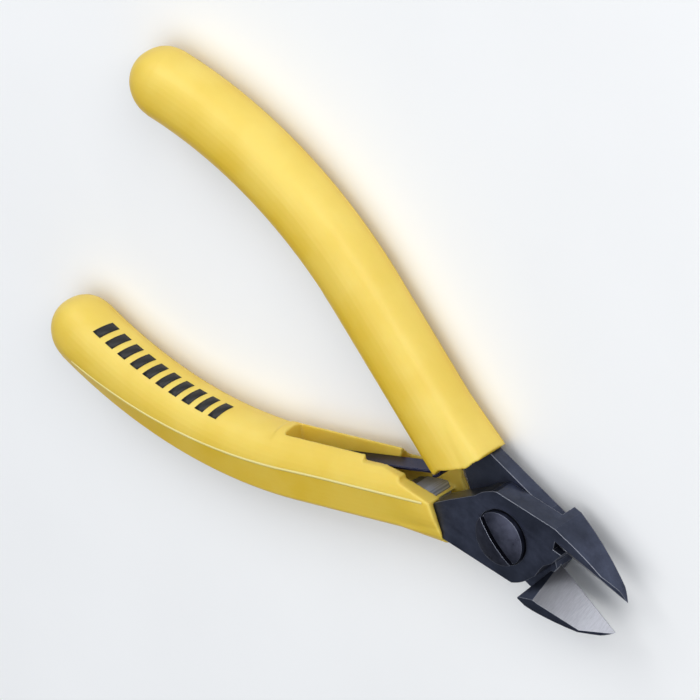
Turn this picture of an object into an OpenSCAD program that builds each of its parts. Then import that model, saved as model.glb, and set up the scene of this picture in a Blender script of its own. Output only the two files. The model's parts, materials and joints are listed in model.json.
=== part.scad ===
// Flush cutter for electronics work: two forged halves on a slotted pivot screw,
// moulded sleeves on both handles and a leaf spring in each sleeve.
// Every shape is drawn in the tool's own frame: the pivot axis is Z with the screw
// head on top, the two halves lap at z = 0 and the long axis is X with the jaws at
// +X.  Each half is drawn closed and then turned half the opening angle about the
// pivot.  The whole tool is then moved, so that it rests on z = 0 with the middle of
// its bounding box over the origin.

/* [Opening] */
// Angle of each half away from closed, at rest
half_open = 8.2; // [6:0.1:9]

/* [Joint] */
// Thickness of one half at the lap
lap_t = 3.7; // [3.2:0.1:4.5]
// Half the width of the joint
joint_half_w = 6.9; // [6.5:0.1:7.1]
// Radius of the lapped disc
lap_r = 7.35; // [7.2:0.05:7.5]
// Gap between the two lapped faces
lap_gap = 0.04; // [0.02:0.01:0.08]
// Radius of the step where the arm is full thickness again
arm_step_r = 15.6; // [15.3:0.1:16]
// Bevel along the back edges of the joint
back_bevel = 1.2; // [0.8:0.1:1.6]

/* [Jaws] */
// Distance from the pivot to the jaw tips
tip_x = 21.9; // [21:0.1:23]
// Distance from the pivot to the root of a jaw, at the cutting edge
root_x = 8.3; // [8.2:0.05:8.6]
// Distance from the pivot to the outer rear corner of a jaw
horn_x = 7; // [6.8:0.1:7.4]
// Height of the cutting edge at its root
edge_root_z = -1.1; // [-1.4:0.1:-0.8]
// Rise of the cutting edge towards the tip, in degrees
edge_rise = 8.6; // [7:0.1:10]
// Angle of the ground bevel above a cutting edge
bevel_angle = 43.5; // [42:0.5:45]
// Slope of a jaw's back, away from its cutting edge
back_tilt = 13; // [10:0.5:15]
// Slope of the land on top of a jaw
land_fall = 4.2; // [3:0.1:5]
// Slope of the nose in front of the land
nose_fall = 25; // [22:1:28]
// Distance along the jaw where the nose starts
nose_x = 17.6; // [17:0.1:18]
// Radius of the long outer curve of a jaw
jaw_curve_r = 46; // [40:1:55]
// Radius of the nose of a jaw
jaw_nose_r = 7; // [6.5:0.5:7.5]

/* [Pivot screw] */
// Diameter of the head
head_d = 8.7; // [8:0.1:8.8]
// Depth of the seat that the head sinks into
seat_depth = 0.6; // [0.4:0.1:0.8]
// Height of the head above the joint face
head_proud = 0.85; // [0.7:0.05:1]
// Rise of the domed head above its rim
head_dome = 0.55; // [0.3:0.05:0.6]
// Width of the driver slot
slot_w = 0.9; // [0.7:0.1:1]
// Depth of the driver slot
slot_depth = 1.3; // [1:0.1:1.4]
// Direction of the driver slot at rest
slot_turn = -27.5; // [-90:0.1:90]
// Distance of the slot from the middle of the head
slot_off = 0.5; // [0:0.1:0.6]
// Diameter of the ground shoulder
shoulder_d = 5.2; // [4.8:0.1:5.4]
// Diameter of the threaded end
thread_d = 4.0; // [3.5:0.1:4.2]
// Radial clearance of the shoulder in its bore
shoulder_fit = 0.03; // [0.02:0.01:0.05]

/* [Handles] */
// Angle of a closed handle to the long axis, where it is straight
lean = 20; // [19.5:0.1:20.5]
// Distance from the pivot to the start of the handle's curve
curve_start_x = 39.3; // [38.8:0.1:39.8]
// Distance of the handle's middle line from the long axis there
curve_start_y = 12.35; // [12.1:0.05:12.6]
// Radius of the handle's curve
curve_r = 73; // [70:1:76]
// Angle that the handle's curve sweeps
curve_sweep = 36.3; // [35:0.1:38]
// Width of the steel tang
tang_w = 4.2; // [4:0.1:4.6]
// Thickness of the steel tang
tang_t = 4.4; // [4:0.1:4.8]
// Angle of the curve that the tang follows
tang_sweep = 20; // [15:1:26]

/* [Sleeves] */
// Half the width of a sleeve
sleeve_a = 5.7; // [5.5:0.1:5.9]
// Half the thickness of a sleeve
sleeve_b = 4.9; // [4.7:0.1:5.1]
// Squareness of the sleeve's section, 2 is an ellipse
sleeve_square = 2.3; // [2:0.1:2.6]
// How far the spring housing stands proud of the sleeve
housing_rise = 0.4; // [0.3:0.1:0.6]
// Angle of the curve that the spring housing covers
housing_sweep = 3; // [2:0.1:5]
// Width of the slot for the leaf spring
spring_slot_w = 4.0; // [3.8:0.1:4.4]

/* [Leaf springs] */
// Width of a leaf
leaf_w = 3.4; // [3:0.1:3.5]
// Thickness of a leaf
leaf_t = 0.5; // [0.4:0.05:0.6]
// Distance from the pivot to the meeting point of the two leaves
meet_x = 15.8; // [15:0.1:16.5]
// Outer radius of the rolled end
roll_r = 0.8; // [0.75:0.05:0.85]
// Inner radius of the hooked end
hook_r = 1; // [0.95:0.05:1.05]
// Diameter of the rivet shank
rivet_d = 1.4; // [1.2:0.1:1.6]
// Diameter of the rivet head
rivet_head_d = 2.6; // [2.2:0.1:2.8]

/* [Hidden] */
$fn = 96;
big = 60;

jaw_gap = 0.03;                         // gap between the closed cutting edges
seat_d = head_d + 0.4;                  // seat of the screw head
tooth = [10.6, 3.2];                    // corner of the near plate between the jaws
facet_lean = 47.5;                      // lean of the chamfer behind a ground bevel
facet_turn = 232;                       // direction that this chamfer faces
offset_out = -2.2;                      // outer face of the tang from the middle line
offset_in = offset_out + tang_w;        // inner face of the tang from the middle line
leaf_lift = 0.16;                       // play under the leaf at its rivet
rivet_ahead = 1.5;                      // distance of the rivet ahead of the curve's start
leaf_tail = 1.3;                        // length of a leaf behind its rivet
slot_end = 1.8;                         // how far a spring slot runs past the curve's start
flare_square = 3.4;                     // squareness of the flared front end
slot_fall = 3;                          // fall of a spring slot's floor at the front
step_h = 0.05;                          // moulding step around a sleeve's round end

steel = "#4b505c";
bright_steel = "#b9bcc6";
yellow = "#f0dc7a";
spring_blue = "#3a4468";

// ---------- placing ----------

// Turns a vector of the closed near half to where it is at rest.
function at_rest(v) = [
    v[0] * cos(half_open) - v[1] * sin(half_open),
    v[0] * sin(half_open) + v[1] * cos(half_open)];

curve_end = lean - curve_sweep;
cap_middle = straight_at(0, curve_r) + curve_r * [sin(curve_end), -cos(curve_end)];
tool_x0 = at_rest(cap_middle)[0] - sleeve_a + step_h;
tool_x1 = tip_x * cos(half_open);
shift_x = round(-50 * (tool_x0 + tool_x1)) / 100;

// Moves the tool into the frame it is kept in.
module placed() { translate([shift_x, 0, sleeve_b]) children(); }

module near_rest() { rotate([0, 0, half_open]) children(); }

module far_rest() { rotate([0, 0, -half_open]) rotate([180, 0, 0]) children(); }

// Frame of a near part that starts where the handle's curve starts: +X runs back
// along the handle and +Y points towards the long axis.
module at_curve() {
    translate([-curve_start_x, -curve_start_y, 0])
        rotate([0, 0, 180 + lean])
            mirror([0, 1, 0]) children();
}

// A point of that frame, given in the closed near frame.
function straight_at(s, w) = [
    -curve_start_x - s * cos(lean) - w * sin(lean),
    -curve_start_y - s * sin(lean) + w * cos(lean)];

// Sweeps a section along the handle's curve.
module along_curve(sweep) {
    translate([0, curve_r, 0])
        rotate([0, 0, -90])
            rotate_extrude(angle = sweep, $fn = 180)
                translate([curve_r, 0]) children();
}

// Extrudes a section forward from the start of the curve.
module along_straight(length) {
    translate([-length, 0, 0])
        rotate([90, 0, 90])
            linear_extrude(length) children();
}

// ---------- steel halves ----------

// Outline of the lapped plate of the closed near half, without the arm's end.
module plate_outline() {
    intersection() {
        circle(lap_r);
        square([big, 2 * joint_half_w], center = true);
    }
    polygon([
        [0, -4.2], [6, -4.2], [7, -3], [7.5, -1.5], [8, -0.4], [8.6, 0.2],
        [8.1, joint_half_w], [0, joint_half_w]]);
    polygon([
        [0, joint_half_w], [-2.6, joint_half_w], [-3.4, 6.6], [-5.6, 4.5], [-10.2, 0.8],
        [-12.6, -1.3], [-14.7, -3.6], [-16, -2.9], [-17.2, -3.2], [-19.6, -4.3],
        [-21, -5.2], [-22.3, -6.8], [-24, -7.4], [-24, -9.3], [-14, -joint_half_w],
        [0, -joint_half_w]]);
}

// The plate on its own side of the lap, and the arm at full thickness behind it.
module plate_and_arm() {
    translate([0, 0, lap_gap / 2]) linear_extrude(lap_t - lap_gap / 2) plate_outline();
    translate([0, 0, -lap_t])
        linear_extrude(2 * lap_t)
            difference() {
                plate_outline();
                circle(arm_step_r);
            }
}

// The tang that runs inside the sleeve.
module tang() {
    at_curve() {
        linear_extrude(tang_t, center = true)
            polygon([
                [-22, offset_out - 0.9], [-22, -0.6], [-16, -0.6], [-7, offset_in],
                [0, offset_in], [0, offset_out], [-11, offset_out]]);
        along_curve(tang_sweep)
            translate([-offset_in, -tang_t / 2]) square([tang_w, tang_t]);
    }
}

// Bevel along the outer long edge of the joint, on the side away from the lap.
module edge_bevel(size) {
    translate([0, -joint_half_w, lap_t])
        rotate([45, 0, 0])
            cube([30, size * sqrt(2), size * sqrt(2)], center = true);
}

// Outline of the jaw that lies at +Y, in the closed tool.
module jaw_outline() {
    intersection() {
        polygon([
            [root_x, jaw_gap / 2], [tip_x, jaw_gap / 2], [tip_x, 9], [horn_x + 1, 9],
            [horn_x, joint_half_w - 0.2]]);
        square([big, 2 * joint_half_w], center = true);
        translate([8.2 - jaw_curve_r * sin(14.5), 7 - jaw_curve_r * cos(14.5)])
            circle(jaw_curve_r, $fn = 180);
        union() {
            square([nose_x + 1.4, 9]);
            translate([tip_x - jaw_nose_r * cos(28.4), -jaw_nose_r * sin(28.4)])
                circle(jaw_nose_r);
        }
    }
}

// A half space in front of a jaw's point, tipped and turned.
module above(point, tip) {
    translate(point) rotate(tip) translate([-big / 2, -big / 2, 0]) cube([big, big, big]);
}

// The jaw at +Y with its ground faces.  Both jaws are ground from the screw side.
module jaw() {
    edge = [root_x, 0, edge_root_z];
    difference() {
        translate([0, 0, -lap_t]) linear_extrude(2 * lap_t) jaw_outline();
        // bevel that rises from the cutting edge
        translate(edge) rotate([0, -edge_rise, 0]) above([0, 0, 0], [bevel_angle, 0, 0]);
        // back, nearly flush with the cutting edge
        translate(edge) rotate([0, -edge_rise, 0]) above([0, 0, 0], [180 - back_tilt, 0, 0]);
        // land and nose
        above([10, 0, lap_t], [0, land_fall, 0]);
        above([nose_x, 0, lap_t - (nose_x - 10) * tan(land_fall)], [0, nose_fall, 0]);
    }
}

module near_half() {
    color(steel) placed() near_rest()
        difference() {
            union() {
                difference() {
                    plate_and_arm();
                    edge_bevel(0.3);
                }
                tang();
                jaw();
                // corner of the plate that stands in the throat
                translate([0, 0, lap_gap / 2])
                    linear_extrude(lap_t - lap_gap / 2)
                        polygon([
                            [7, -0.5], [8, -0.4], [9.3, 0.8], tooth, [9, 3.3], [9, 6.5],
                            [7, 6.5]]);
            }
            translate([0, 0, lap_t - seat_depth]) cylinder(d = seat_d, h = lap_t);
            translate([0, 0, -1]) cylinder(d = shoulder_d + 2 * shoulder_fit, h = 2 * lap_t);
        }
}

module far_half() {
    color(steel) placed()
        difference() {
            union() {
                far_rest() {
                    difference() {
                        plate_and_arm();
                        edge_bevel(back_bevel);
                    }
                    tang();
                }
                rotate([0, 0, -half_open]) mirror([0, 1, 0])
                    difference() {
                        jaw();
                        // chamfer behind the bevel
                        above([root_x, 0, edge_root_z], [0, facet_lean, facet_turn]);
                    }
            }
            translate([0, 0, -2 * lap_t]) cylinder(d = thread_d, h = 2 * lap_t);
        }
}

// ---------- pivot screw ----------

module pivot_screw() {
    seat_z = lap_t - seat_depth + 0.02;
    rim_z = lap_t + head_proud;
    crown_z = rim_z + head_dome;
    dome_r = (head_d * head_d / 4 + head_dome * head_dome) / (2 * head_dome);
    color(steel) placed() rotate([0, 0, slot_turn])
        difference() {
            union() {
                intersection() {
                    translate([0, 0, seat_z]) cylinder(d = head_d, h = big);
                    translate([0, 0, crown_z - dome_r]) sphere(dome_r);
                    translate([0, 0, rim_z + 0.1 - head_d / 2])
                        cylinder(d1 = 2 * head_d, d2 = 0, h = head_d);
                }
                translate([0, 0, -1]) cylinder(d = shoulder_d, h = 1 + seat_z + 0.5);
                translate([0, 0, -lap_t + 0.3]) cylinder(d = thread_d, h = lap_t);
            }
            translate([-head_d, -slot_off - slot_w / 2, crown_z - slot_depth])
                cube([2 * head_d, slot_w, slot_depth + 1]);
        }
}

// ---------- sleeves ----------

// A point of the sleeve's section: a is its reach, b is half its thickness.
function section_at(t, a, b, square) =
    let (c = cos(t), s = sin(t))
    [sign(c) * a * pow(abs(c), 2 / square), sign(s) * b * pow(abs(s), 2 / square)];

// Section across the sleeve.  X is away from the long axis, Y is up.
module sleeve_section(a, b, square = sleeve_square) {
    steps = 40;
    polygon([for (i = [0 : steps - 1]) section_at((i + 0.5) * 360 / steps, a, b, square)]);
}

// The wider section around the spring, used on the inner side only.
module housing_section() {
    intersection() {
        sleeve_section(sleeve_a + housing_rise, sleeve_b - 0.3);
        translate([-20, -10]) square([20, 20]);
    }
}

module sleeve_body() {
    front = 36;
    at_curve() {
        along_straight(front) mirror([1, 0]) {
            sleeve_section(sleeve_a, sleeve_b);
            housing_section();
        }
        along_curve(curve_sweep) sleeve_section(sleeve_a, sleeve_b);
        along_curve(housing_sweep) housing_section();
        translate([0, curve_r, 0])
            rotate([0, 0, -90 + curve_sweep])
                translate([curve_r, 0, 0])
                    rotate_extrude()
                        intersection() {
                            sleeve_section(sleeve_a - step_h, sleeve_b - step_h);
                            translate([0, -big]) square([big, 2 * big]);
                        }
    }
}

// Flare of the sleeve's front end, which is squarer, so that it covers the arm's
// corners.  It starts inside the plain sleeve and grows out of it.
module sleeve_flare() {
    start = 16;
    length = 18;
    growth = [1.33, 1.12];
    sunk_a = 0.8;
    sunk_b = 0.7;
    at_curve()
        translate([-start, 0, 0])
            rotate([90, 0, -90])
                linear_extrude(length, scale = growth, slices = 1)
                    intersection() {
                        sleeve_section(sleeve_a - sunk_a, sleeve_b - sunk_b, flare_square);
                        translate([0, -10]) square([10, 20]);
                    }
}

// Slot on the inner side, open to the front, where the leaf lies when closed.  Its
// floor is flush with the tang and falls away in front of it.
module spring_slot() {
    at_curve()
        translate([0, 0, -spring_slot_w / 2])
            linear_extrude(spring_slot_w)
                polygon([
                    [slot_end, 14], [slot_end, offset_in], [-6, offset_in],
                    [-big, offset_in - (big - 6) * tan(slot_fall)], [-big, 14]]);
}

// The front end of the sleeve.  On the screw side of the near sleeve the inner
// lip is cut back along the arm; on the other side it runs further forward.
// The sleeve is also open beside the arm, down to the given depth.
module sleeve_front_cut(beside) {
    half_slot = spring_slot_w / 2;
    // screw side
    translate([0, 0, half_slot])
        linear_extrude(big)
            polygon([
                [-9.2, -20], [-9.4, -8], [-10.2, -5.8], [-12.1, -2.9], [-13.2, -1.4],
                [-19.6, -1.6], [-19.9, -1], [-23.5, -1.5], [-27.4, -3], [-27.4, 20],
                [20, 20], [20, -20]]);
    // beside the arm
    translate([0, 0, -beside])
        linear_extrude(beside + half_slot + 0.1)
            polygon([[-24, 20], [-24, -7.6], [-16, -3.2], [-8, -3.2], [20, 20]]);
    // back
    translate([0, 0, half_slot - big])
        linear_extrude(big)
            polygon([
                [-9.5, -20], [-9.6, -7.3], [-10.2, -5.4], [-13.7, -1.2], [-14.3, 1.4],
                [-22, 1.4], [-22, 20], [20, 20], [20, -20]]);
}

module sleeve(beside) {
    difference() {
        union() {
            sleeve_body();
            sleeve_flare();
        }
        sleeve_front_cut(beside);
        tang();
        translate([0, 0, -lap_t]) linear_extrude(2 * lap_t) plate_outline();
        spring_slot();
    }
}

module near_sleeve() { color(yellow) placed() near_rest() sleeve(lap_t); }

module far_sleeve() { color(yellow) placed() far_rest() sleeve(spring_slot_w / 2); }

// ---------- leaf springs ----------

// Both leaves end on the long axis at rest.
meet = [-meet_x * cos(half_open), meet_x * sin(half_open)];
leaf_root = straight_at(-rivet_ahead, offset_in + leaf_lift + leaf_t / 2);

function to_cents(x) = round(x * 100) / 100;

// Direction and length of a leaf that ends in a curl of radius r around the meeting point.
function leaf_angle(r) =
    let (d = meet - leaf_root) atan2(d[1], d[0]) - asin(r / norm(d));

function leaf_length(r) =
    let (d = meet - leaf_root) to_cents(sqrt(d * d - r * r));

module leaf(inner_r, curl_angle) {
    mid = inner_r + leaf_t / 2;
    translate([to_cents(leaf_root[0]), to_cents(leaf_root[1]), 0])
        rotate([0, 0, leaf_angle(mid)]) {
            difference() {
                translate([-leaf_tail, -leaf_t / 2, -leaf_w / 2])
                    cube([leaf_tail + leaf_length(mid), leaf_t, leaf_w]);
                rotate([90, 0, 0]) cylinder(d = rivet_d + 0.4, h = 4, center = true, $fn = 48);
            }
            translate([leaf_length(mid), mid, -leaf_w / 2])
                rotate([0, 0, -90])
                    rotate_extrude(angle = curl_angle, $fn = 96)
                        translate([inner_r, 0]) square([leaf_t, leaf_w]);
        }
}

module near_leaf_spring() { color(spring_blue) placed() near_rest() leaf(roll_r - leaf_t, 280); }

module far_leaf_spring() { color(spring_blue) placed() far_rest() leaf(hook_r, 130); }

// A rivet through the root of the leaf, upset in the tang.
module spring_rivet() {
    head_h = 0.5;
    at = straight_at(-rivet_ahead, offset_in);
    top = leaf_lift + leaf_t + 0.15;
    translate([at[0], at[1], 0])
        rotate([-90, 0, lean]) {
            translate([0, 0, -2.5]) cylinder(d = rivet_d, h = 2.6 + top, $fn = 48);
            translate([0, 0, top]) cylinder(d = rivet_head_d, h = head_h, $fn = 48);
        }
}

module near_spring_rivet() { color(bright_steel) placed() near_rest() spring_rivet(); }

module far_spring_rivet() { color(bright_steel) placed() far_rest() spring_rivet(); }

near_half();
far_half();
pivot_screw();
near_sleeve();
far_sleeve();
near_leaf_spring();
far_leaf_spring();
near_spring_rivet();
far_spring_rivet();
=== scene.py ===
"""Flush cutter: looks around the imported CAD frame.

The tool lies on a pale floor.  Lengths are millimetres in the tool's own frame, with the
pivot axis at the origin, the lap plane at z = 0 and the jaws at +X.  place() turns them into
metres in the kept frame.  Colours are linear.
"""

import json
import math

import bmesh
import bpy
from mathutils import Matrix, Vector


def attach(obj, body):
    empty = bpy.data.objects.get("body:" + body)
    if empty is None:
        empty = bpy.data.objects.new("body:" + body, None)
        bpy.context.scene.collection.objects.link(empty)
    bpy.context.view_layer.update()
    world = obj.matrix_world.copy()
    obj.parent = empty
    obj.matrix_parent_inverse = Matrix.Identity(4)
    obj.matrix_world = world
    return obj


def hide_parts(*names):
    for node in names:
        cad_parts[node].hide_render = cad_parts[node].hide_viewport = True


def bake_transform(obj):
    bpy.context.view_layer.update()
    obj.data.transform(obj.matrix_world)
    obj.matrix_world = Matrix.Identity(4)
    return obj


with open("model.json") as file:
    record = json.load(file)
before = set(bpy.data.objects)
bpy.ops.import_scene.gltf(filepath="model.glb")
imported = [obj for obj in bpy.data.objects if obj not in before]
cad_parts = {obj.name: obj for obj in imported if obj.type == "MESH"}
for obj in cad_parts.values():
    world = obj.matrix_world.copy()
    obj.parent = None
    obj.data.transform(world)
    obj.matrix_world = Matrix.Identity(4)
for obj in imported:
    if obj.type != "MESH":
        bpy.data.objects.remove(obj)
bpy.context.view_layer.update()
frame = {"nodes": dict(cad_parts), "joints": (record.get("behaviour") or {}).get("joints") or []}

MM = 0.001
PIVOT = Vector(frame["joints"][0]["pos_m"])

# at rest the tool is open, and each half is turned this far from closed
HALF_OPEN = math.radians(8.2)

# middle line of a closed near handle: straight, then an arc from CURVE_START
LEAN = math.radians(20)
CURVE_START = (-39.3, -12.35)
CURVE_R = 73.0

# sleeve section, a superellipse
SECTION_A = 5.7
SECTION_B = 4.9
SQUARENESS = 2.3


# ---------- places ----------

def place(point, side="near"):
    """A point of the closed near half, in mm, at rest in the kept frame."""
    x, y, z = point
    turn = HALF_OPEN
    if side == "far":
        y, z, turn = -y, -z, -turn
    across = x * math.sin(turn) + y * math.cos(turn)
    along = x * math.cos(turn) - y * math.sin(turn)
    return PIVOT + Vector((along, across, z)) * MM


def handle_point(s, inward, z):
    """A point by its distance s behind the curve's start and its offset towards the long axis."""
    if s < 0:
        x, y = s, inward
    else:
        angle = s / CURVE_R
        r = CURVE_R - inward
        x, y = r * math.sin(angle), CURVE_R - r * math.cos(angle)
    return (
        CURVE_START[0] - x * math.cos(LEAN) - y * math.sin(LEAN),
        CURVE_START[1] - x * math.sin(LEAN) + y * math.cos(LEAN),
        z,
    )


def handle_place(point):
    """The distance s, the inward offset and the height in mm of a point in the kept frame."""
    rest = (Vector(point) - PIVOT) / MM
    x = rest.x * math.cos(HALF_OPEN) + rest.y * math.sin(HALF_OPEN) - CURVE_START[0]
    y = rest.y * math.cos(HALF_OPEN) - rest.x * math.sin(HALF_OPEN) - CURVE_START[1]
    behind = -x * math.cos(LEAN) - y * math.sin(LEAN)
    inward = y * math.cos(LEAN) - x * math.sin(LEAN)
    if behind < 0:
        return behind, inward, rest.z
    angle = math.atan2(behind, CURVE_R - inward)
    return CURVE_R * angle, CURVE_R - math.hypot(behind, CURVE_R - inward), rest.z


def section_point(t, lift=0.0):
    """Offset inwards and height of the sleeve's section at angle t, 0 is inwards and 90 is up."""
    c, s = math.cos(t), math.sin(t)
    power = 2 / SQUARENESS
    inward = math.copysign((SECTION_A + lift) * abs(c) ** power, c)
    height = math.copysign((SECTION_B + lift) * abs(s) ** power, s)
    return inward, height


def section_height(inward):
    """Height of the section above the lap plane at an offset from the middle line."""
    share = min(1.0, abs(inward) / SECTION_A)
    return SECTION_B * (1 - share ** SQUARENESS) ** (1 / SQUARENESS)


def ease(value, low, high):
    """Rises smoothly from 0 at low to 1 at high."""
    share = min(1.0, max(0.0, (value - low) / (high - low)))
    return share * share * (3 - 2 * share)


# ---------- node trees ----------

class Nodes:
    """Short calls for building one material's node tree."""

    def __init__(self, name):
        self.material = bpy.data.materials.new(name)
        self.material.use_nodes = True
        self.tree = self.material.node_tree
        self.shader = self.tree.nodes["Principled BSDF"]

    def new(self, kind, **settings):
        node = self.tree.nodes.new(kind)
        for key, value in settings.items():
            setattr(node, key, value)
        return node

    def link(self, out, into):
        self.tree.links.new(out, into)

    def put(self, into, value):
        """Links another node's output, or stores a plain value."""
        if hasattr(value, "is_output"):
            self.link(value, into)
        else:
            into.default_value = value

    def position(self, scale=(1, 1, 1)):
        """Object coordinates in millimetres from the pivot, times a scale on each axis."""
        coordinates = self.new("ShaderNodeTexCoord")
        mapping = self.new("ShaderNodeMapping")
        factors = [s / MM for s in scale]
        mapping.inputs["Scale"].default_value = factors
        mapping.inputs["Location"].default_value = [-p * f for p, f in zip(PIVOT, factors)]
        self.link(coordinates.outputs["Object"], mapping.inputs["Vector"])
        return mapping.outputs["Vector"]

    def noise(self, vector, scale, detail=4.0, rough=0.5):
        node = self.new("ShaderNodeTexNoise")
        node.inputs["Scale"].default_value = scale
        node.inputs["Detail"].default_value = detail
        node.inputs["Roughness"].default_value = rough
        self.link(vector, node.inputs["Vector"])
        return node.outputs["Fac"]

    def math(self, operation, a, b=0.0, c=0.0, clamp=False):
        node = self.new("ShaderNodeMath", operation=operation, use_clamp=clamp)
        for socket, value in zip(node.inputs, (a, b, c)):
            self.put(socket, value)
        return node.outputs["Value"]

    def span(self, value, low, high, to_low=0.0, to_high=1.0):
        """A value's range from low to high carried over to another range, with no overshoot."""
        node = self.new("ShaderNodeMapRange", clamp=True)
        names = ("Value", "From Min", "From Max", "To Min", "To Max")
        for name, number in zip(names, (value, low, high, to_low, to_high)):
            self.put(node.inputs[name], number)
        return node.outputs["Result"]

    def mix(self, factor, a, b):
        """Colour a where the factor is 0, colour b where it is 1."""
        node = self.new("ShaderNodeMix", data_type="RGBA")
        colours = [s for s in node.inputs if s.type == "RGBA"]
        self.put(node.inputs["Factor"], factor)
        for socket, value in zip(colours, (a, b)):
            self.put(socket, value if hasattr(value, "is_output") else (*value, 1))
        return [s for s in node.outputs if s.type == "RGBA"][0]

    def weigh(self, factor, a, b):
        """Value a where the factor is 0, value b where it is 1."""
        kept = self.math("MULTIPLY", a, self.math("SUBTRACT", 1.0, factor))
        return self.math("ADD", kept, self.math("MULTIPLY", factor, b))

    def object_normal(self):
        geometry = self.new("ShaderNodeNewGeometry")
        turn = self.new("ShaderNodeVectorTransform", vector_type="NORMAL")
        turn.convert_from = "WORLD"
        turn.convert_to = "OBJECT"
        self.link(geometry.outputs["True Normal"], turn.inputs["Vector"])
        return turn.outputs["Vector"]

    def facing(self, direction, low, high):
        """Goes from 0 to 1 as the cosine between the face and a direction goes from low to high."""
        dot = self.new("ShaderNodeVectorMath", operation="DOT_PRODUCT")
        self.link(self.object_normal(), dot.inputs[0])
        dot.inputs[1].default_value = Vector(direction).normalized()
        return self.span(dot.outputs["Value"], low, high)

    def along(self, vector):
        """Distance ahead of the pivot."""
        parts = self.new("ShaderNodeSeparateXYZ")
        self.link(vector, parts.inputs["Vector"])
        return parts.outputs["X"]

    def radius(self, vector):
        """Distance from the pivot axis."""
        parts = self.new("ShaderNodeSeparateXYZ")
        self.link(vector, parts.inputs["Vector"])
        xx = self.math("MULTIPLY", parts.outputs["X"], parts.outputs["X"])
        yy = self.math("MULTIPLY", parts.outputs["Y"], parts.outputs["Y"])
        return self.math("SQRT", self.math("ADD", xx, yy))

    def rings(self, reach, pitch):
        """Waves from -1 to 1 about the pivot axis, one for each pitch."""
        return self.math("SINE", self.math("MULTIPLY", reach, 2 * math.pi / pitch))

    def edge(self, radius):
        """1 on sharp edges, and the normal that is rounded over them."""
        flat, sharp = 0.995, 0.9
        bevel = self.new("ShaderNodeBevel", samples=6)
        bevel.inputs["Radius"].default_value = radius * MM
        geometry = self.new("ShaderNodeNewGeometry")
        dot = self.new("ShaderNodeVectorMath", operation="DOT_PRODUCT")
        self.link(bevel.outputs["Normal"], dot.inputs[0])
        self.link(geometry.outputs["Normal"], dot.inputs[1])
        return self.span(dot.outputs["Value"], flat, sharp), bevel.outputs["Normal"]

    def bump(self, height, distance, normal=None):
        node = self.new("ShaderNodeBump")
        node.inputs["Distance"].default_value = distance * MM
        self.link(height, node.inputs["Height"])
        if normal is not None:
            self.link(normal, node.inputs["Normal"])
        return node.outputs["Normal"]

    def finish(self, colour, rough, normal, metallic=0.0, extra=None):
        """Fills the shader.  extra holds further inputs by their names."""
        inputs = self.shader.inputs
        self.put(inputs["Base Color"], colour)
        self.put(inputs["Roughness"], rough)
        self.put(inputs["Metallic"], metallic)
        self.link(normal, inputs["Normal"])
        for name, value in (extra or {}).items():
            self.put(inputs[name], value)
        return self.material


# ---------- materials ----------

# lit and shaded copies of the sleeve's yellow, mixed by which way a face turns to the key light:
# painted light and shade
YELLOW_LIT = (0.84, 0.64, 0.14)
YELLOW_SHADED = (0.70, 0.45, 0.012)
YELLOW_EDGE = (0.90, 0.74, 0.28)
# paler pair for the moulded line: a painted highlight along its crease, lit and shaded as the
# sleeve's yellow is
LINE_HIGHLIGHT_LIT = (0.93, 0.80, 0.36)
LINE_HIGHLIGHT_SHADED = (0.90, 0.72, 0.20)

STEEL_DARK = (0.042, 0.048, 0.075)
STEEL_LIGHT = (0.08, 0.092, 0.14)
STEEL_SPECK = (0.26, 0.28, 0.33)
STEEL_PATCH = (0.025, 0.03, 0.045)
STEEL_WORN = (0.50, 0.52, 0.58)
STEEL_BARE = (0.50, 0.50, 0.54)
STEEL_MILLED = (0.34, 0.33, 0.31)
ARC_LOW = (0.26, 0.29, 0.40)
ARC_HIGH = (0.50, 0.54, 0.66)

SCREW_DARK = (0.04, 0.043, 0.065)
SCREW_LIGHT = (0.085, 0.09, 0.13)
SCREW_WORN = (0.42, 0.45, 0.54)
SPRING_DARK = (0.006, 0.010, 0.06)
SPRING_LIGHT = (0.016, 0.018, 0.07)
SPRING_WORN = (0.42, 0.42, 0.48)
RIVET_DARK = (0.30, 0.30, 0.33)
RIVET_LIGHT = (0.55, 0.55, 0.58)
INK_DARK = (0.006, 0.006, 0.007)
INK_WORN = (0.03, 0.028, 0.02)
FLOOR_DARK = (0.90, 0.90, 0.90)
FLOOR_LIGHT = (0.93, 0.93, 0.93)

SUBSURFACE = {
    "Subsurface Weight": 0.18,
    "Subsurface Radius": (1.6, 1.0, 0.3),
    "Subsurface Scale": MM,
    "Specular IOR Level": 0.32,
}

# the wall of each arm behind the joint is milled in arcs about the pivot
ARC_PITCH = 0.42
ARC_REACH = (14.0, 14.6)

# how far ahead of the pivot the painted shade at the root of a bevel ends
ROOT_SHADE = (9.0, 18.5)
SCREW_PITCH = 0.24


def moulded_yellow(name, pale, golden):
    """Glossy moulded plastic with painted light and shade: paler on faces that look up and towards
    the far handle, where the key light stands, and golden on faces turned from it.
    """
    n = Nodes(name)
    here = n.position()
    cloud = n.noise(here, 0.12, 3)
    grain = n.noise(here, 9.0, 5, 0.6)
    # painted shade: golden on faces turned from the key light, paler on faces towards it, with a
    # little random tone from the cloud
    painted_shade = n.facing((0.1, 0.85, 0.5), 0.95, -0.15)
    cloud_and_painted_shade = n.math("MULTIPLY_ADD", n.span(cloud, 0.35, 0.65), 0.25, painted_shade, clamp=True)
    tint = n.mix(cloud_and_painted_shade, pale, golden)
    soft, rounded = n.edge(0.35)
    tint = n.mix(n.math("MULTIPLY", soft, 0.35), tint, YELLOW_EDGE)
    rough = n.span(grain, 0.3, 0.7, 0.34, 0.44)
    return n.finish(tint, rough, n.bump(grain, 0.012, rounded), 0.0, SUBSURFACE)


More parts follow.
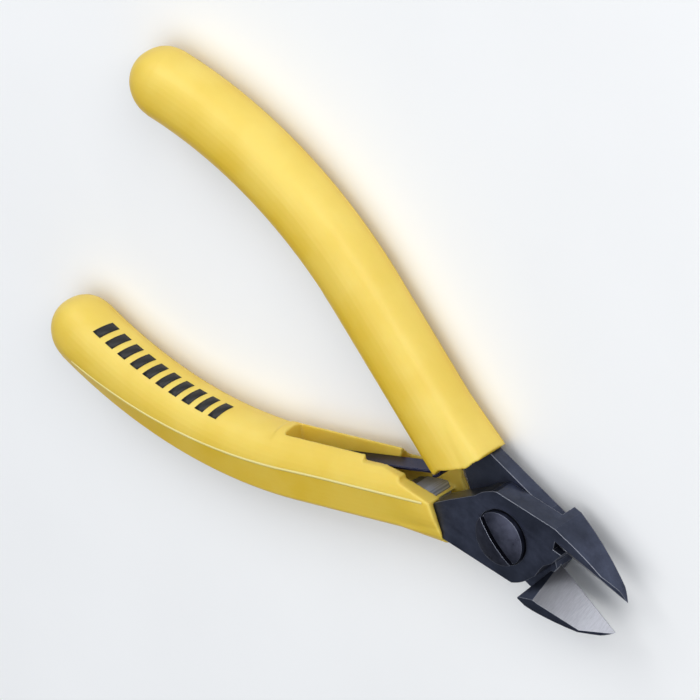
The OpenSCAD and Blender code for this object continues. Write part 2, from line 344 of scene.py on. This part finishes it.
def mottled_steel(n, here):
    """Colour of the dark forged skin, with light specks and darker patches."""
    mottle = n.noise(here, 0.35, 6, 0.62)
    speck = n.noise(here, 5.0, 4, 0.7)
    patch = n.noise(here, 0.11, 2)
    skin = n.mix(n.span(mottle, 0.3, 0.7), STEEL_DARK, STEEL_LIGHT)
    skin = n.mix(n.span(speck, 0.62, 0.8, 0.0, 0.35), skin, STEEL_SPECK)
    return n.mix(n.span(patch, 0.42, 0.62, 0.0, 0.55), skin, STEEL_PATCH)


def milled_wall(n, here, reach):
    """1 on the upright walls of the arm behind the joint."""
    upright = n.facing((0, 0, 1), 0.3, 0.0)
    behind = n.math("MULTIPLY", n.span(reach, *ARC_REACH), n.span(n.along(here), 0.0, -1.0))
    return n.math("MULTIPLY", upright, behind)


def bare_ground(n, here, tone):
    """Colour of a face ground bare, with fine lines, and painted shade that darkens it towards its
    root.
    """
    lines = n.noise(n.position((3.2, 0.35, 0.35)), 2.2, 6, 0.7)
    ground = n.mix(n.span(lines, 0.3, 0.7), [0.72 * t for t in tone], tone)
    # painted shade, darkening the bevel towards its root
    root = n.span(n.along(here), *ROOT_SHADE, 0.85, 0.0)
    return n.mix(root, ground, [0.18 * t for t in tone])


def forged_steel(name, bright_faces=()):
    """Dark steel.  bright_faces gives the direction and colour of each face ground bare."""
    n = Nodes(name)
    here = n.position()
    scratch = n.noise(n.position((0.12, 1.6, 0.6)), 3.0, 5, 0.6)
    rough = n.span(scratch, 0.3, 0.7, 0.3, 0.5)
    worn, rounded = n.edge(0.14)

    reach = n.radius(here)
    ring = n.rings(reach, ARC_PITCH)
    wall = milled_wall(n, here, reach)
    arcs = n.mix(n.span(ring, -1, 1), ARC_LOW, ARC_HIGH)
    colour = n.mix(wall, mottled_steel(n, here), arcs)
    grooves = n.math("MULTIPLY", ring, n.math("MULTIPLY", wall, 0.4))
    relief = n.math("ADD", n.math("MULTIPLY", scratch, 0.5), grooves)

    for direction, tone in bright_faces:
        face = n.facing(direction, 0.985, 0.995)
        colour = n.mix(face, colour, bare_ground(n, here, tone))
        rough = n.weigh(face, rough, 0.34)
    colour = n.mix(n.math("MULTIPLY", worn, 0.7), colour, STEEL_WORN)
    metallic = n.span(wall, 0, 1, 0.92, 0.55)
    return n.finish(colour, rough, n.bump(relief, 0.012, rounded), metallic)


def turned_steel():
    """The screw: fine turned rings in relief, and light edges."""
    n = Nodes("turned_steel")
    here = n.position()
    ring = n.rings(n.radius(here), SCREW_PITCH)
    mottle = n.noise(here, 0.5, 6, 0.6)
    dark = n.mix(n.span(mottle, 0.3, 0.7), SCREW_DARK, SCREW_LIGHT)
    worn, rounded = n.edge(0.12)
    colour = n.mix(n.math("MULTIPLY", worn, 0.5), dark, SCREW_WORN)
    rough = n.span(mottle, 0.3, 0.7, 0.26, 0.4)
    relief = n.math("ADD", n.math("MULTIPLY", ring, 0.3), mottle)
    return n.finish(colour, rough, n.bump(relief, 0.01, rounded), 0.95)


def blued_spring():
    """Leaf steel brushed along its length, blue-black with light edges."""
    n = Nodes("blued_spring")
    stain = n.noise(n.position(), 0.4, 5, 0.6)
    brush = n.noise(n.position((0.15, 2.0, 2.0)), 4.0, 4, 0.6)
    colour = n.mix(n.span(stain, 0.35, 0.65), SPRING_DARK, SPRING_LIGHT)
    worn, rounded = n.edge(0.08)
    colour = n.mix(n.math("MULTIPLY", worn, 0.8), colour, SPRING_WORN)
    rough = n.span(brush, 0.3, 0.7, 0.3, 0.45)
    return n.finish(colour, rough, n.bump(brush, 0.006, rounded), 0.95)


def bright_rivet():
    n = Nodes("bright_rivet")
    wear = n.noise(n.position(), 1.6, 5, 0.6)
    colour = n.mix(n.span(wear, 0.35, 0.65), RIVET_DARK, RIVET_LIGHT)
    rounded = n.edge(0.1)[1]
    rough = n.span(wear, 0.3, 0.7, 0.25, 0.4)
    return n.finish(colour, rough, n.bump(wear, 0.01, rounded), 1.0)


def print_ink():
    n = Nodes("print_ink")
    wear = n.noise(n.position(), 3.0, 5, 0.7)
    colour = n.mix(n.span(wear, 0.6, 0.8), INK_DARK, INK_WORN)
    rough = n.span(wear, 0.3, 0.7, 0.35, 0.55)
    return n.finish(colour, rough, n.bump(wear, 0.004))


def pale_floor():
    n = Nodes("pale_floor")
    shade = n.noise(n.position(), 0.02, 3)
    colour = n.mix(n.span(shade, 0.3, 0.7), FLOOR_DARK, FLOOR_LIGHT)
    return n.finish(colour, 0.6, n.bump(shade, 0.01))


# ---------- meshes ----------

def new_object(name, mesh, material):
    obj = bpy.data.objects.new(name, mesh)
    bpy.context.scene.collection.objects.link(obj)
    obj.data.materials.clear()
    obj.data.materials.append(material)
    return obj


def smooth(mesh, angle=None):
    """Smooth shading, with edges sharper than the angle in degrees kept sharp."""
    mesh.polygons.foreach_set("use_smooth", [True] * len(mesh.polygons))
    if angle is not None:
        mesh.set_sharp_from_angle(angle=math.radians(angle))


def stitch(work, rows, closed_rows=False):
    """Adds rows of points that all have the same length, and the faces between them."""
    lines = [[work.verts.new(p) for p in row] for row in rows]
    count = len(rows[0])
    for a, b in zip(lines, lines[1:]):
        for i in range(count if closed_rows else count - 1):
            j = (i + 1) % count
            work.faces.new((a[i], a[j], b[j], b[i]))
    if closed_rows:
        work.faces.new(reversed(lines[0]))
        work.faces.new(lines[-1])


def finished_mesh(work, name):
    """Turns bmesh work into a mesh whose faces all look outwards."""
    bmesh.ops.recalc_face_normals(work, faces=work.faces)
    mesh = bpy.data.meshes.new(name)
    work.to_mesh(mesh)
    work.free()
    return mesh


def grid_mesh(name, rows, closed_rows=False):
    work = bmesh.new()
    stitch(work, rows, closed_rows)
    return finished_mesh(work, name)


# ---------- sleeves ----------

WELD = 0.001
VOXEL = 0.22
SMOOTHING = 5

# the moulded line runs straight as far as LINE_BEND, then moves outwards
LINE_START = -27.0
LINE_BEND = -10.0
LINE_END = 44.0
LINE_STEPS = 89
LINE_FRONT_OFFSET = 1.2
LINE_REAR_OFFSET = -2.6
LINE_HALF_W = 0.24
LINE_RISE = 0.05
LINE_ROOT = 0.2
LINE_SHARP = 60

# the flat beside the line: its outer edge, and the distances s where it fades out
SHOULDER = -4.3
FLAT_FRONT = (-30, -20)
FLAT_REAR = (50, 40)

# only the outer skin is pressed: points this high, and this near to the section's surface
FLAT_ABOVE = 3.0
FLAT_SKIN = (-0.35, -0.1)

# the printed bars, by distance s and by angle round the section
BARS = 10
BAR_PITCH = 2.9
BAR_W = 1.7
BAR_SLANT = 1.0
BAR_FIRST = 14.6
BAR_LOW = math.radians(2)
BAR_HIGH = math.radians(41)
BAR_ROUND_STEPS = 6
BAR_WIDE_STEPS = 2
INK_LIFT = 0.035
INK_T = 0.05


def line_offset(s):
    """Offset inwards of the moulded line on the screw side of the near sleeve."""
    share = min(1.0, max(0.0, (s - LINE_BEND) / (LINE_END - LINE_BEND)))
    return LINE_FRONT_OFFSET + (LINE_REAR_OFFSET - LINE_FRONT_OFFSET) * share ** 2


def flatten_beside_line(mesh):
    """Presses the near sleeve flat between the moulded line and its outer shoulder."""
    for vertex in mesh.vertices:
        s, inward, height = handle_place(vertex.co)
        line = line_offset(s)
        if height < FLAT_ABOVE or not SHOULDER < inward < line:
            continue
        share = (line - inward) / (line - SHOULDER)
        chord = section_height(line) * (1 - share) + section_height(SHOULDER) * share
        press = max(0.0, section_height(inward) - chord)
        outside = ease(height - section_height(inward), *FLAT_SKIN)
        amount = outside * ease(s, *FLAT_FRONT) * ease(s, *FLAT_REAR)
        vertex.co.z -= press * amount * MM


def welded_copy(name, source):
    """A copy of a CAD mesh with the points of neighbouring faces joined."""
    work = bmesh.new()
    work.from_mesh(source)
    bmesh.ops.remove_doubles(work, verts=work.verts, dist=WELD * MM)
    mesh = bpy.data.meshes.new(name)
    work.to_mesh(mesh)
    work.free()
    return mesh


def round_edges(obj, material):
    """Swaps an object's mesh for a remeshed and relaxed one."""
    remesh = obj.modifiers.new("remesh", "REMESH")
    remesh.mode = "VOXEL"
    remesh.voxel_size = VOXEL * MM
    relax = obj.modifiers.new("relax", "SMOOTH")
    relax.factor = 0.5
    relax.iterations = SMOOTHING
    depsgraph = bpy.context.evaluated_depsgraph_get()
    final = bpy.data.meshes.new_from_object(obj.evaluated_get(depsgraph))
    final.name = obj.name
    obj.modifiers.clear()
    obj.data = final
    final.materials.clear()
    final.materials.append(material)


def moulded_sleeve(side, material, reshape=None):
    """The CAD sleeve with every edge rounded as moulded plastic has it."""
    node = side + "_sleeve"
    name = side + "_grip"
    sleeve = new_object(name, welded_copy(name, frame["nodes"][node].data), material)
    round_edges(sleeve, material)
    if reshape:
        reshape(sleeve.data)
    smooth(sleeve.data)
    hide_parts(node)
    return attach(sleeve, side + "_body")


def line_row(s):
    """One section of the moulded line, from its outer foot over its top to its root."""
    middle = line_offset(s)
    shoulder = LINE_RISE * 0.6
    profile = ((-1, -LINE_RISE), (-0.6, shoulder), (0, LINE_RISE), (0.6, shoulder), (1, -LINE_RISE))
    row = []
    for share, lift in (*profile, (0, -LINE_ROOT)):
        inward = middle + share * LINE_HALF_W
        row.append(place(handle_point(s, inward, section_height(inward) + lift)))
    return row


def moulded_line(material):
    """The fine raised line along the near sleeve."""
    pitch = (LINE_END - LINE_START) / LINE_STEPS
    rows = [line_row(LINE_START + k * pitch) for k in range(LINE_STEPS + 1)]
    mesh = grid_mesh("near_sleeve_line", rows, closed_rows=True)
    smooth(mesh, LINE_SHARP)
    line = new_object("near_sleeve_line", mesh, material)
    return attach(line, "near_body")


def bar_row(start, share):
    """Points across one bar, at a share of the way round the section."""
    inward, height = section_point(BAR_LOW + (BAR_HIGH - BAR_LOW) * share, INK_LIFT)
    row = []
    for j in range(BAR_WIDE_STEPS + 1):
        s = start + BAR_W * j / BAR_WIDE_STEPS + BAR_SLANT * share
        row.append(place(handle_point(s, inward, height)))
    return row


def printed_mark(material):
    """A generic row of slanted bars on the inner side of the near sleeve."""
    work = bmesh.new()
    for bar in range(BARS):
        start = BAR_FIRST + bar * BAR_PITCH
        shares = [i / BAR_ROUND_STEPS for i in range(BAR_ROUND_STEPS + 1)]
        stitch(work, [bar_row(start, share) for share in shares])
    mesh = finished_mesh(work, "near_sleeve_print")
    smooth(mesh)
    mark = new_object("near_sleeve_print", mesh, material)
    solid = mark.modifiers.new("ink", "SOLIDIFY")
    solid.thickness = INK_T * MM
    solid.offset = 0
    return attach(mark, "near_body")


# ---------- leaf springs ----------

LEAF_W = 3.4
LEAF_T = 0.5
LEAF_EASE_W = 0.12
LEAF_EASE_T = 0.1
LEAF_SHARP = 35
LEAF_STEPS = 40
LEAF_TAIL = 1.3

# the leaf's root lies on the tang, this far above it and this far ahead of the curve's start
TANG_TOP = 2.0
LEAF_LIFT = 0.16
RIVET_AHEAD = 1.5

# the free ends meet on the middle line, this far behind the pivot
MEET_X = 15.8

# radii of the roll's outside and the hook's inside, and how far round each goes, in degrees
ROLL_R = 0.8
ROLL_SWEEP = 280
HOOK_R = 1.0
HOOK_SWEEP = 130
CURL_STEP = 8
CURL_MIN_STEPS = 12


def leaf_path(curl_r, sweep):
    """Root, meeting point and middle line of a leaf, from its tail to the end of its curl."""
    meet = Vector((-MEET_X * math.cos(HALF_OPEN), MEET_X * math.sin(HALF_OPEN)))
    root = Vector(handle_point(-RIVET_AHEAD, TANG_TOP + LEAF_LIFT + LEAF_T / 2, 0)[:2])
    way = meet - root
    heading = math.atan2(way.y, way.x) - math.asin(curl_r / way.length)
    length = math.sqrt(way.length_squared - curl_r ** 2)
    ahead = Vector((math.cos(heading), math.sin(heading)))
    left = Vector((-ahead.y, ahead.x))

    path = []
    for k in range(LEAF_STEPS + 1):
        path.append(root + ahead * (-LEAF_TAIL + (LEAF_TAIL + length) * k / LEAF_STEPS))
    centre = root + ahead * length + left * curl_r
    steps = max(CURL_MIN_STEPS, int(sweep / CURL_STEP))
    for k in range(1, steps + 1):
        a = math.radians(sweep) * k / steps
        path.append(centre + ahead * curl_r * math.sin(a) - left * curl_r * math.cos(a))
    return root, meet, path


def leaf_outline():
    """The strip's section, a rectangle with eased corners."""
    half_w, half_t = LEAF_W / 2, LEAF_T / 2
    flat_w, flat_t = half_w - LEAF_EASE_W, half_t - LEAF_EASE_T
    return [
        (-flat_t, -half_w), (flat_t, -half_w), (half_t, -flat_w), (half_t, flat_w),
        (flat_t, half_w), (-flat_t, half_w), (-half_t, flat_w), (-half_t, -flat_w),
    ]


def leaf_rows(path, side):
    """The strip's section at every point of its path."""
    outline = leaf_outline()
    rows = []
    for k, point in enumerate(path):
        before = path[max(0, k - 1)]
        after = path[min(len(path) - 1, k + 1)]
        ahead = (after - before).normalized()
        left = Vector((-ahead.y, ahead.x))
        row = []
        for across, height in outline:
            corner = point + left * across
            row.append(place((corner.x, corner.y, height), side))
        rows.append(row)
    return rows


def leaf_spring(side, curl_r, sweep, material):
    """A strip that bends from its rivet to its free end."""
    root, meet, path = leaf_path(curl_r, sweep)
    name = side + "_leaf"
    mesh = grid_mesh(name, leaf_rows(path, side), closed_rows=True)
    smooth(mesh, LEAF_SHARP)
    leaf = new_object(name, mesh, material)
    node = side + "_leaf_spring"
    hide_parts(node)
    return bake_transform(leaf)


# ---------- studio, in metres ----------

FLOOR_HALF = 4.0
MIDDLE = Vector((0, 0, 0))
WHITE = (1.0, 1.0, 1.0)
WARM_WHITE = (1.0, 0.98, 0.95)
SKY_COLOUR = (0.84, 0.91, 1.0, 1)
SKY_REACH = 0.8
SKY_DIM = 0.16
SKY_BRIGHT = 0.62

CAMERA_RIGHT = (0.725, 0.262, -0.637)
CAMERA_BACK = (0.362, 0.642, 0.676)
CAMERA_PLACE = (0.31345, 0.5693, 0.5973)
CAMERA_LENS = 300.37
CAMERA_SENSOR = 36
CAMERA_NEAR = 0.01


def floor(material):
    ends = (-FLOOR_HALF, FLOOR_HALF)
    rows = [[Vector((x, y, 0)) for y in ends] for x in ends]
    new_object("floor", grid_mesh("floor", rows), material)


def softbox(name, location, size, power, colour):
    """A rectangular light that looks at the middle of the tool."""
    data = bpy.data.lights.new(name, "AREA")
    data.shape = "RECTANGLE"
    data.size, data.size_y = size
    data.energy = power
    data.color = colour
    light = bpy.data.objects.new(name, data)
    light.location = location
    aim = MIDDLE - Vector(location)
    light.rotation_euler = aim.to_track_quat("-Z", "Y").to_euler()
    bpy.context.scene.collection.objects.link(light)


def shade_sky(tree):
    """Sky that is brighter on the far handle's side, where the light comes from."""
    background = tree.nodes["Background"]
    background.inputs["Color"].default_value = SKY_COLOUR
    coordinates = tree.nodes.new("ShaderNodeTexCoord")
    parts = tree.nodes.new("ShaderNodeSeparateXYZ")
    strength = tree.nodes.new("ShaderNodeMapRange")
    strength.inputs["From Min"].default_value = -SKY_REACH
    strength.inputs["From Max"].default_value = SKY_REACH
    strength.inputs["To Min"].default_value = SKY_DIM
    strength.inputs["To Max"].default_value = SKY_BRIGHT
    tree.links.new(coordinates.outputs["Generated"], parts.inputs["Vector"])
    tree.links.new(parts.outputs["Y"], strength.inputs["Value"])
    tree.links.new(strength.outputs["Result"], background.inputs["Strength"])


def studio():
    scene = bpy.context.scene
    scene.view_settings.view_transform = "Standard"
    world = bpy.data.worlds.new("studio")
    world.use_nodes = True
    shade_sky(world.node_tree)
    scene.world = world
    softbox("key", (0.35, 0.85, 0.55), (0.6, 0.5), 3.7, WARM_WHITE)
    softbox("side", (-0.5, 0.5, 0.5), (0.35, 0.5), 1.7, WHITE)
    softbox("top", (0.0, 0.0, 0.9), (0.9, 0.9), 3.8, WHITE)


def camera():
    """Looks down at the screw side from beyond the far handle, rolled about its own axis."""
    back = Vector(CAMERA_BACK).normalized()
    up = back.cross(Vector(CAMERA_RIGHT).normalized()).normalized()
    right = up.cross(back)
    data = bpy.data.cameras.new("camera")
    data.sensor_width = CAMERA_SENSOR
    data.lens = CAMERA_LENS
    data.clip_start = CAMERA_NEAR
    view = bpy.data.objects.new("camera", data)
    stand = Matrix((right, up, back)).transposed().to_4x4()
    stand.translation = Vector(CAMERA_PLACE)
    view.matrix_world = stand
    bpy.context.scene.collection.objects.link(view)
    bpy.context.scene.camera = view


# ---------- assembly ----------

# directions of the bare faces on a closed near half
BEVEL_NORMAL = (-0.108, -0.688, 0.717)
WALL_NORMAL = (-0.638, 0.770, 0)


def rotated(vector, turn):
    """A direction turned about +Z."""
    return Matrix.Rotation(turn, 3, "Z") @ Vector(vector)


def dress(node, material):
    obj = frame["nodes"][node]
    obj.data.materials.clear()
    obj.data.materials.append(material)


near_bevel = rotated(BEVEL_NORMAL, HALF_OPEN)
near_wall = rotated(WALL_NORMAL, HALF_OPEN)
far_bevel = rotated((BEVEL_NORMAL[0], -BEVEL_NORMAL[1], BEVEL_NORMAL[2]), -HALF_OPEN)
near_faces = [(near_bevel, STEEL_BARE), (near_wall, STEEL_MILLED)]
far_faces = [(far_bevel, STEEL_BARE)]
yellow = moulded_yellow("moulded_yellow", YELLOW_LIT, YELLOW_SHADED)
# a paler copy of the yellow: painted highlight for the moulded line
line_highlight_yellow = moulded_yellow("moulded_line_highlight", LINE_HIGHLIGHT_LIT, LINE_HIGHLIGHT_SHADED)
spring = blued_spring()
rivet = bright_rivet()

dress("near_half", forged_steel("near_steel", near_faces))
dress("far_half", forged_steel("far_steel", far_faces))
dress("pivot_screw", turned_steel())
dress("near_spring_rivet", rivet)
dress("far_spring_rivet", rivet)

moulded_sleeve("near", yellow, flatten_beside_line)
moulded_sleeve("far", yellow)
# the line is dressed in the paler yellow, a painted highlight along it
moulded_line(line_highlight_yellow)
printed_mark(print_ink())
leaf_spring("near", ROLL_R - LEAF_T / 2, ROLL_SWEEP, spring)
leaf_spring("far", HOOK_R + LEAF_T / 2, HOOK_SWEEP, spring)

floor(pale_floor())
studio()
camera()
